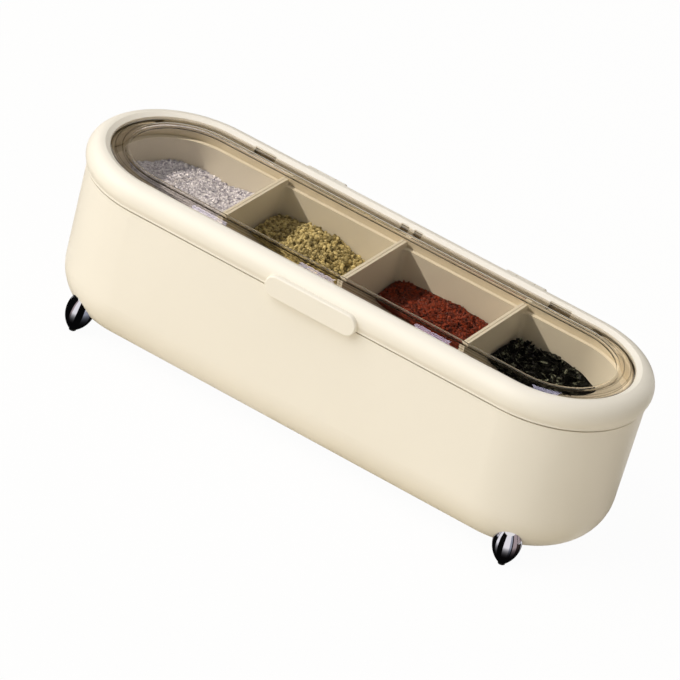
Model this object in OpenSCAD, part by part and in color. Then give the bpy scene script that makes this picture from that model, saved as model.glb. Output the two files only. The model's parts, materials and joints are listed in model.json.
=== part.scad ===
// Condiment caddy: a long tub with round ends on four splayed feet, a rear-hinged lid
// with a clear window, and four lift-out boxes that hang side by side in a raised collar.
// X runs along the caddy and the front is at -Y. The origin is on the table, midway along
// the caddy and midway between the face of the tab and the backs of the hinges.

/* [Tub] */
// Length of the tub
body_l = 326; // [300:1:360]
// Width of the tub
body_w = 101; // [96:1:110]
// Height of the tub, from its underside to the parting line
body_h = 81.6; // [76:0.2:92]
// Wall of the tub
body_wall = 2.2; // [1.6:0.1:2.8]
// Draft of the tub's sides, in degrees
body_draft = 1.2; // [0.4:0.1:1.8]
// Outer radius round the tub's underside
body_fillet = 26; // [20:0.5:28]
// Space between the table and the tub's underside
ground_gap = 4; // [2.5:0.1:6]

/* [Inner frame] */
// Thickness of the deck that closes the tub's wall
deck_t = 2; // [1.4:0.1:2.6]
// Depth of the deck below the tub's rim
deck_drop = 0.6; // [0.2:0.1:1.2]
// Width of the step in the tub's wall that carries the deck
deck_step = 0.8; // [0.5:0.1:1.2]
// Gap between the deck's edge and the tub
deck_gap = 0.1; // [0.05:0.05:0.3]
// Height of the collar above the parting line
collar_h = 11; // [9:0.5:11.5]
// Depth of the collar below the parting line
collar_drop = 12; // [6:0.5:20]
// Thickness of the collar
collar_t = 1.8; // [1.4:0.1:2.2]
// Gap between the collar and the lid's inner lip
collar_gap = 1.8; // [1.6:0.1:2.6]
// Width of the ledge that the boxes hang from
ledge_w = 1.2; // [0.9:0.1:1.8]
// Thickness of that ledge
ledge_t = 1.9; // [1.4:0.1:2.4]

/* [Boxes] */
// Distance from one divider to the next
box_pitch = 73.8; // [66:0.2:78]
// Wall of a box
box_wall = 1.4; // [1:0.1:1.8]
// Gap round a box, to its ledge, its collar and its neighbour
box_gap = 0.3; // [0.2:0.05:0.6]
// Thickness of a box's rim
rim_t = 1.6; // [1.2:0.1:2.2]
// Height of a box's rim above the parting line
rim_h = 4; // [3:0.1:5]
// How far a box's side walls stand above its rim
side_rise = 3.7; // [2:0.1:5]
// Radius of a box's upright corners
box_corner = 4; // [2:0.5:8]
// Radius round the floor of a box
box_floor_r = 6; // [3:0.5:9]
// Space between the boxes and the tub's floor
box_under = 13; // [9:0.5:20]

/* [Lid] */
// How far the lid overhangs the tub
lid_over = 2; // [1.2:0.1:2.6]
// Height of the lid above the parting line
lid_h = 15.2; // [14.6:0.1:17]
// Wall of the lid's frame
lid_wall = 2; // [1.6:0.1:2.4]
// Gap between the lid and the tub at the parting line
lid_gap = 1.1; // [0.3:0.1:1.4]
// Width of the lid's frame from its outer edge to the window
frame_w = 11.1; // [10.6:0.1:12.6]
// Radius of the bullnose round the lid's edge
bull_r = 8.3; // [7:0.1:8.6]
// Step in from the bullnose to the skirt below it
skirt_in = 1.4; // [0.3:0.1:1.6]
// Fall of the frame's top face towards the window
frame_fall = 1.3; // [0.8:0.1:1.8]
// Thickness of the lid's inner lip
lip_t = 1.8; // [1.5:0.1:2.2]
// Height of the lip's lower edge above the parting line
lip_z = 1.8; // [1.2:0.1:3]

/* [Window] */
// Thickness of the window
pane_t = 2.2; // [1.6:0.1:2.4]
// Gap round the window
pane_gap = 0.3; // [0.2:0.05:0.4]
// Depth of the window's top face below the lid's top
pane_drop = 0.3; // [0:0.1:0.6]
// Width of the window's sloped border
border_w = 7; // [5:0.5:9]
// Fall of that border
border_fall = 1.4; // [0.8:0.1:1.6]
// Width of the seat that carries the window's edge
seat_w = 0.9; // [0.7:0.1:1.2]
// Height of the window's seat below the lid's top
seat_drop = 3.2; // [3:0.1:3.6]
// Depth of the rib under the window
rib_h = 1.3; // [0.8:0.1:1.6]
// Width of that rib
rib_w = 1.8; // [1.2:0.1:2.4]
// Distance of the outer snap hooks from the middle
hook_x = 91; // [80:1:100]
// Width of a snap hook
hook_w = 12.6; // [8:0.2:16]
// Gap between the two halves of the middle hook
hook_split = 3.6; // [2:0.2:5]

/* [Seal] */
// Gap between the closed lid's seal and the deck
seal_gap = 0.2; // [0.1:0.05:0.4]
// Thickness of the seal's outer leg
seal_t = 0.9; // [0.7:0.1:1.2]
// Height of the seal's outer leg
seal_leg = 4; // [3:0.5:6]

/* [Front tab] */
// Length of the tab
tab_l = 55; // [36:1:64]
// Height of the tab
tab_h = 12; // [8:0.5:13]
// Height of the tab's lower edge above the parting line
tab_z = -2.2; // [-3:0.1:0]
// How far the tab stands out from the lid
tab_out = 2.6; // [1.8:0.1:4]
// Rounding of the tab's front edge
tab_round = 0.9; // [0.6:0.1:1.6]
// Radius of the two pegs that hold the tab
peg_r = 1.8; // [1.2:0.1:2]
// Distance of a peg from the tab's middle
peg_x = 11; // [8:0.5:14]

/* [Hinges] */
// Distance of a hinge from the caddy's middle
hinge_x = 61.7; // [50:0.1:75]
// Width of a hinge
hinge_w = 23; // [18:1:30]
// Radius of a knuckle
knuckle_r = 3.7; // [3.2:0.1:3.8]
// Distance of the hinge pin behind the lid's edge
pin_back = 4.5; // [4.4:0.1:6]
// Height of the hinge pin above the parting line
pin_z = 5.5; // [5:0.1:6.5]
// Radius of the hinge pin
pin_r = 1.2; // [0.9:0.05:1.5]
// Radial clearance of the hinge pin
pin_clear = 0.05; // [0.02:0.01:0.1]
// Gap between knuckles
knuckle_gap = 0.4; // [0.3:0.05:0.8]

/* [Feet] */
// Angle round the tub's end from its long axis to a foot
foot_turn = 63.2; // [50:0.2:75]
// Distance of a foot's tip in from the tub's side
foot_in = 5.3; // [4:0.1:9]
// Lean of a foot, outwards as it goes down, in degrees
foot_lean = 13; // [0:0.5:15]
// Largest radius of a foot
foot_r = 7.6; // [6.5:0.1:8.4]
// Length of a foot from its tip to its largest radius
foot_l = 12.3; // [11:0.1:14]
// Radius of a foot's tip
foot_tip = 2.9; // [2.6:0.1:3.6]
// Thickness of the pad under a foot
pad_t = 0.8; // [0.6:0.1:1.2]
// Radius of that pad
pad_r = 1.9; // [1.4:0.1:1.9]
// Radius of a foot screw's shank
screw_r = 1.5; // [1.2:0.1:1.8]
// Length of a foot screw below its head
screw_l = 14; // [12:0.5:16]
// Radius of a foot screw's head
head_r = 2.9; // [2.4:0.1:3.4]
// Thickness of a foot screw's head
head_t = 1.9; // [1.4:0.1:2.4]
// Radius of the boss that the screw head sits on
boss_r = 4.6; // [4:0.1:5.5]

/* [Hidden] */
$fn = 96;

cream = [0.95, 0.92, 0.86];
ivory = [0.93, 0.9, 0.83];
beige = [0.8, 0.75, 0.65];
smoke = [0.45, 0.43, 0.4, 0.45];
clear = [0.85, 0.85, 0.83];
chrome = [0.78, 0.79, 0.82];
steel = [0.66, 0.67, 0.69];

// Length that a cut runs past the face it opens
cut = 1;
// Overlap that fuses two forms of one piece
fuse = 0.3;

// Tub: radii are measured from the long axis, and heights from the table
body_r = body_w / 2;
half = (body_l - body_w) / 2;
part_z = ground_gap + body_h;
fillet_z = ground_gap + body_fillet;
fillet_r = body_r - body_fillet * cos(body_draft)
    - (part_z - fillet_z + body_fillet * sin(body_draft)) * tan(body_draft);

// Lid frame
lid_r = body_r + lid_over;
lid_top = part_z + lid_h;
lid_bottom = part_z + lid_gap;
bull_c = [lid_r - bull_r, lid_top - bull_r];
bull_in = bull_r - lid_wall;
skirt_r = lid_r - skirt_in;
skirt_in_r = skirt_r - lid_wall;
win_r = lid_r - frame_w;
win_z = lid_top - frame_fall;
lip_out = win_r + lip_t;
lip_bottom = part_z + lip_z;
roof_z = lid_top - lid_wall - frame_fall * (bull_c.x - lip_out) / (bull_c.x - win_r);
seat_z = lid_top - seat_drop;
seat_t = 1.4;
seat_r = win_r - seat_w;

// Inner frame
deck_z = part_z - deck_drop;
rim_in_r = body_r - body_wall + deck_step;
deck_r = rim_in_r - deck_gap;
collar_out = win_r - collar_gap;
collar_in = collar_out - collar_t;
collar_top = part_z + collar_h;
collar_bottom = part_z - collar_drop;
collar_edge = 0.5;
ledge_r = collar_in - ledge_w;
ledge_z = part_z + rim_h - rim_t;
notch_h = 1.6;
notch_w = hook_w + 1.4;

// Boxes
box_r = ledge_r - box_gap;
rim_r = collar_in - box_gap;
rim_z = part_z + rim_h;
side_z = rim_z + side_rise;
side_round = 2;
box_z = ground_gap + body_wall + box_under;
box_far = half + 2 * box_r;

// Window
pane_r = win_r - pane_gap;
pane_z = lid_top - pane_drop;
pane_under = pane_z - pane_t;
pane_edge_z = pane_z - border_fall;
border_r = pane_r - border_w;
border_arc = (pow(border_w, 2) + pow(border_fall, 2)) / (2 * border_fall);
rib_r = border_r - rib_w - 1;
hook_t = 0.8;
hook_toe = 0.5;
hook_toe_h = 1.2;
hook_play = 0.2;
hook_z = seat_z - 2.6;
half_hook = (hook_w - hook_split) / 2;
half_hook_x = (hook_split + half_hook) / 2;
HOOKS = [[-hook_x, hook_w], [-half_hook_x, half_hook], [half_hook_x, half_hook],
    [hook_x, hook_w]];

// Front tab
tab_r = tab_h / 2;
tab_gap = 0.4;
tab_back = body_r + tab_gap;
tab_depth = lid_r + tab_out - tab_back;
tab_mid_z = part_z + tab_z + tab_r;
peg_fit = 0.05;
peg_reach = 1.2;

// Hinges
pin_y = lid_r + pin_back;
pin_h = part_z + pin_z;
pin_end = 0.2;
bracket_w = hinge_w / 4;
lid_knuckle = hinge_w / 2 - 2 * knuckle_gap;
bracket_drop = 13;
bracket_rise = 5;

// Feet
foot_axis_r = body_r - foot_in;
foot_arc = (pow(foot_r, 2) + pow(foot_l - foot_tip, 2) - pow(foot_tip, 2))
    / (2 * (foot_r - foot_tip));
foot_slope = atan2(foot_l - foot_tip, foot_arc - foot_r);
foot_tangent = foot_tip * (1 - sin(foot_slope));
foot_top = foot_l + 10;
boss_h = 18.5;
screw_fit = 0.1;
thread_fit = 0.02;

// Brings a piece from the caddy's long axis to its place round the origin.
module placed() {
    translate([0, (lid_r + tab_out - pin_y - knuckle_r) / 2, 0])
        children();
}

// Straight run between two half turns. The section is drawn at x >= 0, where x is the
// distance from the long axis, and it is carried round the whole stadium.
module stadium_sweep(run = half) {
    for (side = [-1, 1])
        translate([side * run, 0, 0])
            rotate([0, 0, -90 * side])
                rotate_extrude(angle = 180)
                    children();
    rotate([90, 0, 90])
        translate([0, 0, -run])
            linear_extrude(2 * run) {
                children();
                mirror([1, 0])
                    children();
            }
}

module rect(low, high) {
    translate(low)
        square(high - low);
}

module round_rect(low, high, r) {
    rect(low + [r, 0], high - [r, 0]);
    rect(low + [0, r], high - [0, r]);
    for (x = [low.x + r, high.x - r], y = [low.y + r, high.y - r])
        translate([x, y])
            circle(r);
}

// Half section of a tub with drafted sides and a round underside, drawn inset from the
// outline of the real one.
module tub_section(inset, top) {
    turn = body_fillet - inset;
    edge = fillet_r + turn * cos(body_draft);
    foot = fillet_z - turn * sin(body_draft);
    polygon([[0, fillet_z - turn], [fillet_r, fillet_z - turn], [fillet_r, fillet_z],
        [edge, foot], [edge + (top - foot) * tan(body_draft), top], [0, top]]);
    intersection() {
        translate([fillet_r, fillet_z])
            circle(turn);
        rect([fillet_r, ground_gap - cut], [body_r, fillet_z]);
    }
}

// Places a piece under one end of the tub, on the spot where a foot stands.
module at_tip(side, face) {
    translate([side * half, 0, 0])
        rotate([0, 0, side > 0 ? face * foot_turn : 180 - face * foot_turn])
            translate([foot_axis_r, 0, 0])
                children();
}

// The same, with local Z along the foot's own leaning axis, from its tip upwards.
module at_foot(side, face) {
    at_tip(side, face)
        translate([0, 0, foot_tip])
            rotate([0, -foot_lean, 0])
                translate([0, 0, -foot_tip])
                    children();
}

module at_feet() {
    for (side = [-1, 1], face = [-1, 1])
        at_foot(side, face)
            children();
}

// A length of hinge along X, from its section in Y and Z.
module along_x(start, length) {
    translate([start, 0, 0])
        rotate([90, 0, 90])
            linear_extrude(length)
                children();
}

// The hinge pin's line, as a rod of one radius centred on a hinge.
module pin_line(side, r, length) {
    translate([side * hinge_x - length / 2, pin_y, pin_h])
        rotate([0, 90, 0])
            cylinder(h = length, r = r);
}

module knuckle_section() {
    translate([pin_y, pin_h])
        circle(knuckle_r);
}

// Body knuckle: it leaves the tub's wall under the lid and rises behind the lid's skirt.
module bracket_section() {
    root = body_r - body_wall / 2;
    back = pin_y + knuckle_r;
    front = pin_y - knuckle_r;
    polygon([[root, part_z - bracket_drop], [root, deck_z], [front, deck_z],
        [front, pin_h], [back, pin_h], [back, pin_h - bracket_rise]]);
    knuckle_section();
}

module body_shell() {
    placed() color(cream)
        difference() {
            union() {
                stadium_sweep()
                    difference() {
                        tub_section(0, part_z);
                        tub_section(body_wall, part_z + cut);
                        rect([0, deck_z - deck_t], [rim_in_r, part_z + cut]);
                    }
                intersection() {
                    at_feet()
                        cylinder(h = boss_h, r = boss_r);
                    stadium_sweep()
                        tub_section(body_wall / 2, part_z);
                }
                for (side = [-1, 1], end = [-hinge_w / 2, hinge_w / 2 - bracket_w])
                    along_x(side * hinge_x + end, bracket_w)
                        bracket_section();
            }
            at_feet()
                cylinder(h = 2 * boss_h, r = screw_r + screw_fit);
            for (side = [-1, 1])
                pin_line(side, pin_r + pin_clear, 2 * hinge_w);
        }
}

// Deck, collar and box ledge in one ring, with a relief in the collar for each hook.
module inner_frame() {
    placed() color(ivory)
        difference() {
            stadium_sweep() {
                rect([collar_in, deck_z - deck_t], [deck_r, deck_z]);
                polygon([[collar_in, collar_bottom], [collar_out, collar_bottom],
                    [collar_out, collar_top - collar_edge],
                    [collar_out - collar_edge, collar_top],
                    [collar_in + collar_edge, collar_top],
                    [collar_in, collar_top - collar_edge]]);
                polygon([[ledge_r, ledge_z], [ledge_r, ledge_z - ledge_t],
                    [collar_in + fuse, ledge_z - ledge_t - ledge_w],
                    [collar_in + fuse, ledge_z]]);
            }
            for (x = [-hook_x, 0, hook_x])
                translate([x - notch_w / 2, -collar_out - cut, collar_top - notch_h])
                    cube([notch_w, 2 * (collar_out + cut), notch_h + cut]);
        }
}

// The inside or outside of a box between two places along X, with a round floor edge.
module box_form(from, to, inset, top) {
    r = box_r - inset;
    low = box_z + inset;
    turn = box_floor_r - inset;
    corner = max(box_corner - inset, 0.5);
    intersection() {
        stadium_sweep() {
            rect([0, low], [r - turn, top]);
            rect([0, low + turn], [r, top]);
            intersection() {
                translate([r - turn, low + turn])
                    circle(turn);
                rect([r - turn, low], [r, low + turn]);
            }
        }
        translate([0, 0, low])
            linear_extrude(top - low)
                round_rect([from + inset, -r], [to - inset, r], corner);
        rotate([90, 0, 0])
            translate([0, 0, -r])
                linear_extrude(2 * r)
                    round_rect([from + inset, low], [to - inset, top + turn], turn);
    }
}

// One lift-out box: a rim on the sides that hang on the ledge, and higher side walls
// where it meets its neighbours.
module box(from, to) {
    difference() {
        union() {
            box_form(from, to, 0, rim_z);
            intersection() {
                stadium_sweep()
                    rect([box_r - box_wall, rim_z - rim_t], [rim_r, rim_z]);
                translate([from, -rim_r, rim_z - rim_t])
                    cube([to - from, 2 * rim_r, rim_t]);
            }
            for (x = [from, to - box_wall])
                if (abs(x) < half)
                    along_x(x, box_wall)
                        round_rect([-rim_r, rim_z - rim_t], [rim_r, side_z], side_round);
        }
        box_form(from, to, box_wall, side_z + cut);
    }
}

module box_left_end() {
    placed() color(beige)
        box(-box_far, -box_pitch - box_gap / 2);
}

module box_left_middle() {
    placed() color(beige)
        box(-box_pitch + box_gap / 2, -box_gap / 2);
}

module box_right_middle() {
    placed() color(beige)
        box(box_gap / 2, box_pitch - box_gap / 2);
}

module box_right_end() {
    placed() color(beige)
        box(box_pitch + box_gap / 2, box_far);
}

// Outer outline of the lid frame's section, from a given inner radius.
module lid_outline(inner) {
    polygon([[inner, lid_bottom], [inner, inner < win_r ? lid_top : win_z],
        [bull_c.x, lid_top], bull_c, [skirt_r, bull_c.y], [skirt_r, lid_bottom]]);
    intersection() {
        translate(bull_c)
            circle(bull_r);
        rect([bull_c.x, lid_bottom + fuse], [lid_r, lid_top]);
    }
}

// The hollow between the lid's skin and its inner lip.
module lid_hollow() {
    polygon([[lip_out, part_z - cut], [lip_out, roof_z],
        [bull_c.x, lid_top - lid_wall], bull_c, [skirt_in_r, bull_c.y],
        [skirt_in_r, part_z - cut]]);
    intersection() {
        translate(bull_c)
            circle(bull_in);
        rect([bull_c.x, lid_bottom + fuse], [lid_r, lid_top]);
    }
}

// Slot for one snap hook, with the pocket that its toe catches in.
module hook_slot(x, w) {
    width = w + 2 * hook_play;
    reach = pane_r + hook_t + hook_play;
    translate([x - width / 2, seat_r - hook_play, hook_z - hook_play]) {
        cube([width, reach - seat_r + hook_play, lid_h]);
        cube([width, reach + hook_toe - seat_r + hook_play, hook_toe_h + 2 * hook_play]);
    }
}

module hook(x, w) {
    root = pane_r - fuse;
    translate([x - w / 2, root, hook_z]) {
        cube([w, fuse + hook_t, pane_edge_z - hook_z]);
        cube([w, fuse + hook_t + hook_toe, hook_toe_h]);
    }
}

module all_hooks() {
    for (turn = [0, 180])
        rotate([0, 0, turn])
            children();
}

module lid_frame() {
    placed() color(cream)
        difference() {
            union() {
                stadium_sweep() {
                    difference() {
                        lid_outline(win_r);
                        lid_hollow();
                        rect([win_r - cut, part_z], [lip_out, lip_bottom]);
                    }
                    polygon([[seat_r, seat_z], [seat_r, seat_z - seat_t],
                        [win_r + fuse, seat_z - seat_t - seat_w], [win_r + fuse, seat_z]]);
                }
                for (side = [-1, 1])
                    along_x(side * hinge_x - lid_knuckle / 2, lid_knuckle) {
                        knuckle_section();
                        rect([skirt_r - lid_wall / 2, pin_h - knuckle_r],
                            [pin_y, pin_h + knuckle_r / 2]);
                    }
            }
            for (side = [-1, 1])
                pin_line(side, pin_r + pin_clear, 2 * hinge_w);
            all_hooks()
                for (h = HOOKS)
                    hook_slot(h[0], h[1]);
            for (x = [-peg_x, peg_x])
                translate([x, -skirt_in_r + cut, tab_mid_z])
                    rotate([90, 0, 0])
                        cylinder(h = lid_r - skirt_in_r + 2 * cut, r = peg_r + peg_fit);
        }
}

// Window: a flat plate whose border slopes to its edge, with a stiffening rib below.
module window_pane() {
    placed() color(smoke)
        union() {
            stadium_sweep() {
                rect([0, pane_under], [border_r, pane_z]);
                rect([rib_r, pane_under - rib_h], [rib_r + rib_w, pane_under]);
                difference() {
                    intersection() {
                        translate([border_r, pane_z - border_arc])
                            circle(border_arc);
                        rect([border_r, seat_z], [pane_r, pane_z]);
                    }
                    polygon([[border_r - cut, seat_z - cut], [border_r - cut, pane_under],
                        [border_r, pane_under], [collar_out, seat_z],
                        [collar_out, seat_z - cut]]);
                }
            }
            all_hooks()
                for (h = HOOKS)
                    hook(h[0], h[1]);
        }
}

module lid_seal() {
    placed() color(clear)
        stadium_sweep() {
            low = deck_z + seal_gap;
            rect([win_r, low], [lip_out + seal_t, lip_bottom]);
            rect([lip_out, low], [lip_out + seal_t, low + seal_leg]);
        }
}

module tab_section() {
    rect([0, 0], [tab_r, tab_depth - tab_round]);
    rect([0, 0], [tab_r - tab_round, tab_depth]);
    translate([tab_r - tab_round, tab_depth - tab_round])
        circle(tab_round);
}

module front_tab() {
    placed() color(cream) {
        difference() {
            translate([0, -tab_back, tab_mid_z])
                rotate([90, 0, 0])
                    stadium_sweep(tab_l / 2 - tab_r)
                        tab_section();
            stadium_sweep()
                lid_outline(0);
        }
        for (x = [-peg_x, peg_x])
            translate([x, -skirt_in_r + peg_reach, tab_mid_z])
                rotate([90, 0, 0])
                    cylinder(h = lid_r - skirt_in_r + peg_reach + fuse, r = peg_r);
    }
}

module hinge_pin(side) {
    placed() color(steel)
        pin_line(side, pin_r, hinge_w - 2 * pin_end);
}

module hinge_pin_left() {
    hinge_pin(-1);
}

module hinge_pin_right() {
    hinge_pin(1);
}

module foot_section() {
    intersection() {
        translate([0, foot_tip])
            circle(foot_tip);
        rect([0, 0], [foot_r, foot_tangent]);
    }
    intersection() {
        translate([foot_r - foot_arc, foot_l])
            circle(foot_arc);
        rect([0, foot_tangent], [foot_r, foot_top]);
    }
}

// A foot is trimmed to the tub's round underside and flattened over its pad.
module foot(side, face) {
    placed() color(chrome)
        difference() {
            at_foot(side, face)
                rotate_extrude()
                    foot_section();
            stadium_sweep()
                tub_section(0, part_z);
            at_tip(side, face)
                translate([0, 0, -cut])
                    cylinder(h = cut + pad_t, r = foot_r);
            at_foot(side, face)
                translate([0, 0, boss_h - screw_l])
                    cylinder(h = foot_top, r = screw_r + thread_fit);
        }
}

module foot_front_left() {
    foot(-1, -1);
}

module foot_front_right() {
    foot(1, -1);
}

module foot_rear_left() {
    foot(-1, 1);
}

module foot_rear_right() {
    foot(1, 1);
}

module pad(side, face) {
    placed() color(clear)
        at_tip(side, face)
            cylinder(h = pad_t, r = pad_r);
}

module pad_front_left() {
    pad(-1, -1);
}

module pad_front_right() {
    pad(1, -1);
}

module pad_rear_left() {
    pad(-1, 1);
}

module pad_rear_right() {
    pad(1, 1);
}

module foot_screws() {
    placed() color(steel)
        at_feet() {
            translate([0, 0, boss_h])
                cylinder(h = head_t, r = head_r);
            translate([0, 0, boss_h - screw_l])
                cylinder(h = screw_l + fuse, r = screw_r);
        }
}

body_shell();
inner_frame();
box_left_end();
box_left_middle();
box_right_middle();
box_right_end();
lid_frame();
window_pane();
lid_seal();
front_tab();
hinge_pin_left();
hinge_pin_right();
foot_front_left();
foot_front_right();
foot_rear_left();
foot_rear_right();
pad_front_left();
pad_front_right();
pad_rear_left();
pad_rear_right();
foot_screws();
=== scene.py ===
"""Dresses a condiment caddy: a long tub with a clear-windowed flip lid and four filled boxes."""

import json
import math

import bpy
import numpy as np
from mathutils import Matrix, Vector

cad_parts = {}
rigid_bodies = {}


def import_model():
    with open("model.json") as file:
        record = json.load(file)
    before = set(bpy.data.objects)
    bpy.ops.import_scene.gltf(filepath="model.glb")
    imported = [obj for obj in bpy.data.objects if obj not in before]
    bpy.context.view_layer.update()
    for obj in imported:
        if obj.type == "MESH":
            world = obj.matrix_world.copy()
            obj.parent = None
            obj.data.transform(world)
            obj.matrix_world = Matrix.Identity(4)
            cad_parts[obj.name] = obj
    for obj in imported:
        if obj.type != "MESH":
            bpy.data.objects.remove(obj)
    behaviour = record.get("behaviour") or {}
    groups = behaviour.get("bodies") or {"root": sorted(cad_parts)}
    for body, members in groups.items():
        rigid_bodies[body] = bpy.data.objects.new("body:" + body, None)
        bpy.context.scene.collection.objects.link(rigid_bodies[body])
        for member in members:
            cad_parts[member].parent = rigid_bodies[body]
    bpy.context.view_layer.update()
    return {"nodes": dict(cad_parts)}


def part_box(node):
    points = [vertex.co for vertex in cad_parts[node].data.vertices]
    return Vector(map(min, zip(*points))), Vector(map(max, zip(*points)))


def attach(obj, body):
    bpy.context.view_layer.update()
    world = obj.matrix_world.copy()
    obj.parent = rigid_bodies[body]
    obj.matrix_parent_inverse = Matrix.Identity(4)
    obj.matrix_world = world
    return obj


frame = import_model()

bl_info = {
    "name": "Condiment caddy",
    "version": (1, 0, 0),
    "blender": (4, 5, 0),
    "location": "3D View > Sidebar > Caddy",
    "description": "Finishes a condiment caddy, fills its boxes and sets a studio round it",
    "category": "Object",
}

# Millimetres to metres
MM = 0.001
# First words of the names of what the box lamp lights
IN_THE_BOXES = ("box_", "inner_frame", "salt", "herb", "chili", "flake", "dark")
# First words of the names that neither lamp lights, so that they show no glint of one
NO_GLINT = ("window_pane", "foot_")
# Spots across the window's border, from its inner side outwards, and the gain of the tint
# there, as painted shade: two fine dark lines on the border's plain darker tint
BORDER_PAINTED_SHADE = [(0.08, 1), (0.3, 1), (0.34, 0.3), (0.38, 1)]
BORDER_PAINTED_SHADE += [(0.66, 1), (0.7, 0.25), (0.75, 1.2), (0.86, 1.2)]
# Gain of the tint at the window's outermost edge: painted shade, darkest there
EDGE_PAINTED_SHADE = 0.3
# Rim of a box past its wall, at the front, the rear and the end of the caddy
RIM = 1.2 * MM
# Inner radius of a box's corners, apart from the large ones of an end box
CORNER = 2.6 * MM
# A box whose middle lies further than this from the caddy's middle is an end box
END_BOX = 0.09
# Radians of tilt either way, with which grains fall any way up
ANY_TILT = 3.0
# Middles of the bars along the window's front border, in mm
BARS = (-74, -8, 62, 127)
# Direction that the world's light is brightest from: the upper left, a little to the front
BRIGHTEST_WAY = (-0.6, -0.3, 0.74)
# Shares of the ambient light from the dimmest and from the brightest direction
DIMMEST = 0.5
BRIGHTEST = 1.4


def linear(code):
    """Turns an sRGB hex colour into linear red, green and blue."""
    parts = [int(code[i : i + 2], 16) / 255 for i in (0, 2, 4)]
    return [p / 12.92 if p <= 0.04045 else ((p + 0.055) / 1.055) ** 2.4 for p in parts]


def hue(name, description, code):
    """A colour property with a hex default."""
    return bpy.props.FloatVectorProperty(
        name=name, description=description, subtype="COLOR", min=0, max=1, default=linear(code)
    )


def length(name, description, default):
    """A length property, in metres, with a default in millimetres."""
    return bpy.props.FloatProperty(
        name=name, description=description, default=default * MM, unit="LENGTH", precision=4
    )


def turn(name, description, default):
    """An angle property with a default in degrees."""
    return bpy.props.FloatProperty(
        name=name, description=description, default=math.radians(default), unit="ROTATION"
    )


def number(name, description, default, most=10.0):
    """A plain number property."""
    return bpy.props.FloatProperty(
        name=name, description=description, default=default, min=0, max=most
    )


class CaddyColours(bpy.types.PropertyGroup):
    """Colours of the moulded parts and the metal."""

    shell: hue("Shell", "Tub, lid frame and tab", "F6EEDE")
    inner: hue("Inner frame", "Deck and collar under the window", "DACFBB")
    boxes: hue("Boxes", "Lift-out boxes", "E0D9CB")
    smoke: hue("Window", "Tint of the clear window", "F4F1EB")
    # Painted shade: the darker tint that the camera sees over the window's sloped border
    smoke_border_shade: hue("Window border", "Tint of the window's sloped border", "DAD4CA")
    border: length("Border", "Width of that border and its rib", 9.6)
    silicone: hue("Silicone", "Lid seal", "DAD8D0")
    pads: hue("Pads", "Pads under the feet", "1E1E1F")
    chrome: hue("Chrome", "Plated feet", "DFDEE4")
    steel: hue("Steel", "Hinge pins and screws", "A9A9AD")


class CaddyFillings(bpy.types.PropertyGroup):
    """What the four boxes hold, how high and how coarse."""

    wall: length("Box wall", "Wall of a box, from its outside to its filling", 1.45)
    floor_round: length("Floor rounding", "Rounding inside a box between walls and floor", 4.7)
    salt_level: length("Salt level", "Height of the salt above the table", 73.6)
    herb_level: length("Herb level", "Height of the dried herbs above the table", 74.7)
    chili_level: length("Chili level", "Height of the crushed chili above the table", 74.6)
    flake_level: length("Flake level", "Height of the dark flakes above the table", 71.6)
    salt_grain: length("Salt grain", "Width of a salt crystal", 1.35)
    herb_grain: length("Herb grain", "Width of a granule of dried herb", 2.6)
    chili_grain: length("Chili grain", "Width of a flake of crushed chili", 1.9)
    flake_grain: length("Dark flake", "Length of a dark flake", 6.0)
    salt: hue("Salt", "Coarse salt", "F3F1FA")
    salt_shade: hue("Salt in shade", "Darkest salt crystal", "8F8D9B")
    herb: hue("Herb", "Palest granule of herb", "D9C88F")
    # The darkest herb, chili and flake colours are also painted shade: the beds under their grains
    # take them, so the gaps between grains look dark
    herb_shade: hue("Herb in shade", "Darkest granule of herb", "54481E")
    chili: hue("Chili", "Brightest chili flake", "933819")
    chili_shade: hue("Chili in shade", "Darkest chili flake", "360F09")
    flakes: hue("Dark flakes", "Palest dark flake, apart from its glints", "10110D")
    flakes_shade: hue("Dark flakes in shade", "Darkest flake", "030303")
    # Painted glint: the palest spots of the dark flakes take this pale colour, in place of
    # highlights
    flakes_painted_glint: hue("Flake glint", "Palest spots of the dark flakes", "8F9484")


class CaddyStudio(bpy.types.PropertyGroup):
    """Floor, lamps, reflected cards and the camera."""

    floor: hue("Floor", "Pale studio floor", "F2EBDA")
    floor_glow: number("Floor whiteness", "Share of plain white that the floor shows", 0.96, 1.0)
    ambient: number("Ambient", "Light from all round, on the whole", 0.40)
    soft: number("Soft lamp", "Light of the soft lamp, before its size spreads it", 0.87)
    soft_side: turn("Soft lamp direction", "Turn of the soft lamp from the front, to the left", 45)
    soft_height: turn("Soft lamp height", "Angle of the soft lamp above the floor", 42)
    spot: number("Box lamp", "Strength of the narrow lamp that lights the boxes alone", 5.2)
    spot_spread: turn("Box lamp spread", "Apparent size of that lamp", 2.0)
    spot_side: turn("Box lamp direction", "Turn of that lamp from the front, to the left", 66)
    spot_height: turn("Box lamp height", "Angle of that lamp above the floor", 39)
    bar: hue("Bar", "Colour of the bars in the window's front border", "C9C4DC")
    bar_strength: number("Bar strength", "Light of those bars", 9.0, 50.0)
    bar_tilt: turn("Bar tilt", "Slope of the window's border where the bars show", 17)
    azimuth: turn("Camera azimuth", "Turn of the camera from the front, to the right", 24.195)
    elevation: turn("Camera elevation", "Height of the camera above the horizon", 29.795)
    roll: turn("Camera roll", "Tilt of the camera about its own axis", 15.609)
    distance: length("Camera distance", "From the camera to the point it aims at", 3204.617)
    aim_x: length("Aim across", "Point that the camera aims at", 3.908)
    aim_y: length("Aim back", "Point that the camera aims at", -19.409)
    aim_z: length("Aim up", "Point that the camera aims at", 56.344)
    lens: number("Lens", "Focal length in millimetres", 334.75, 1000)


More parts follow.
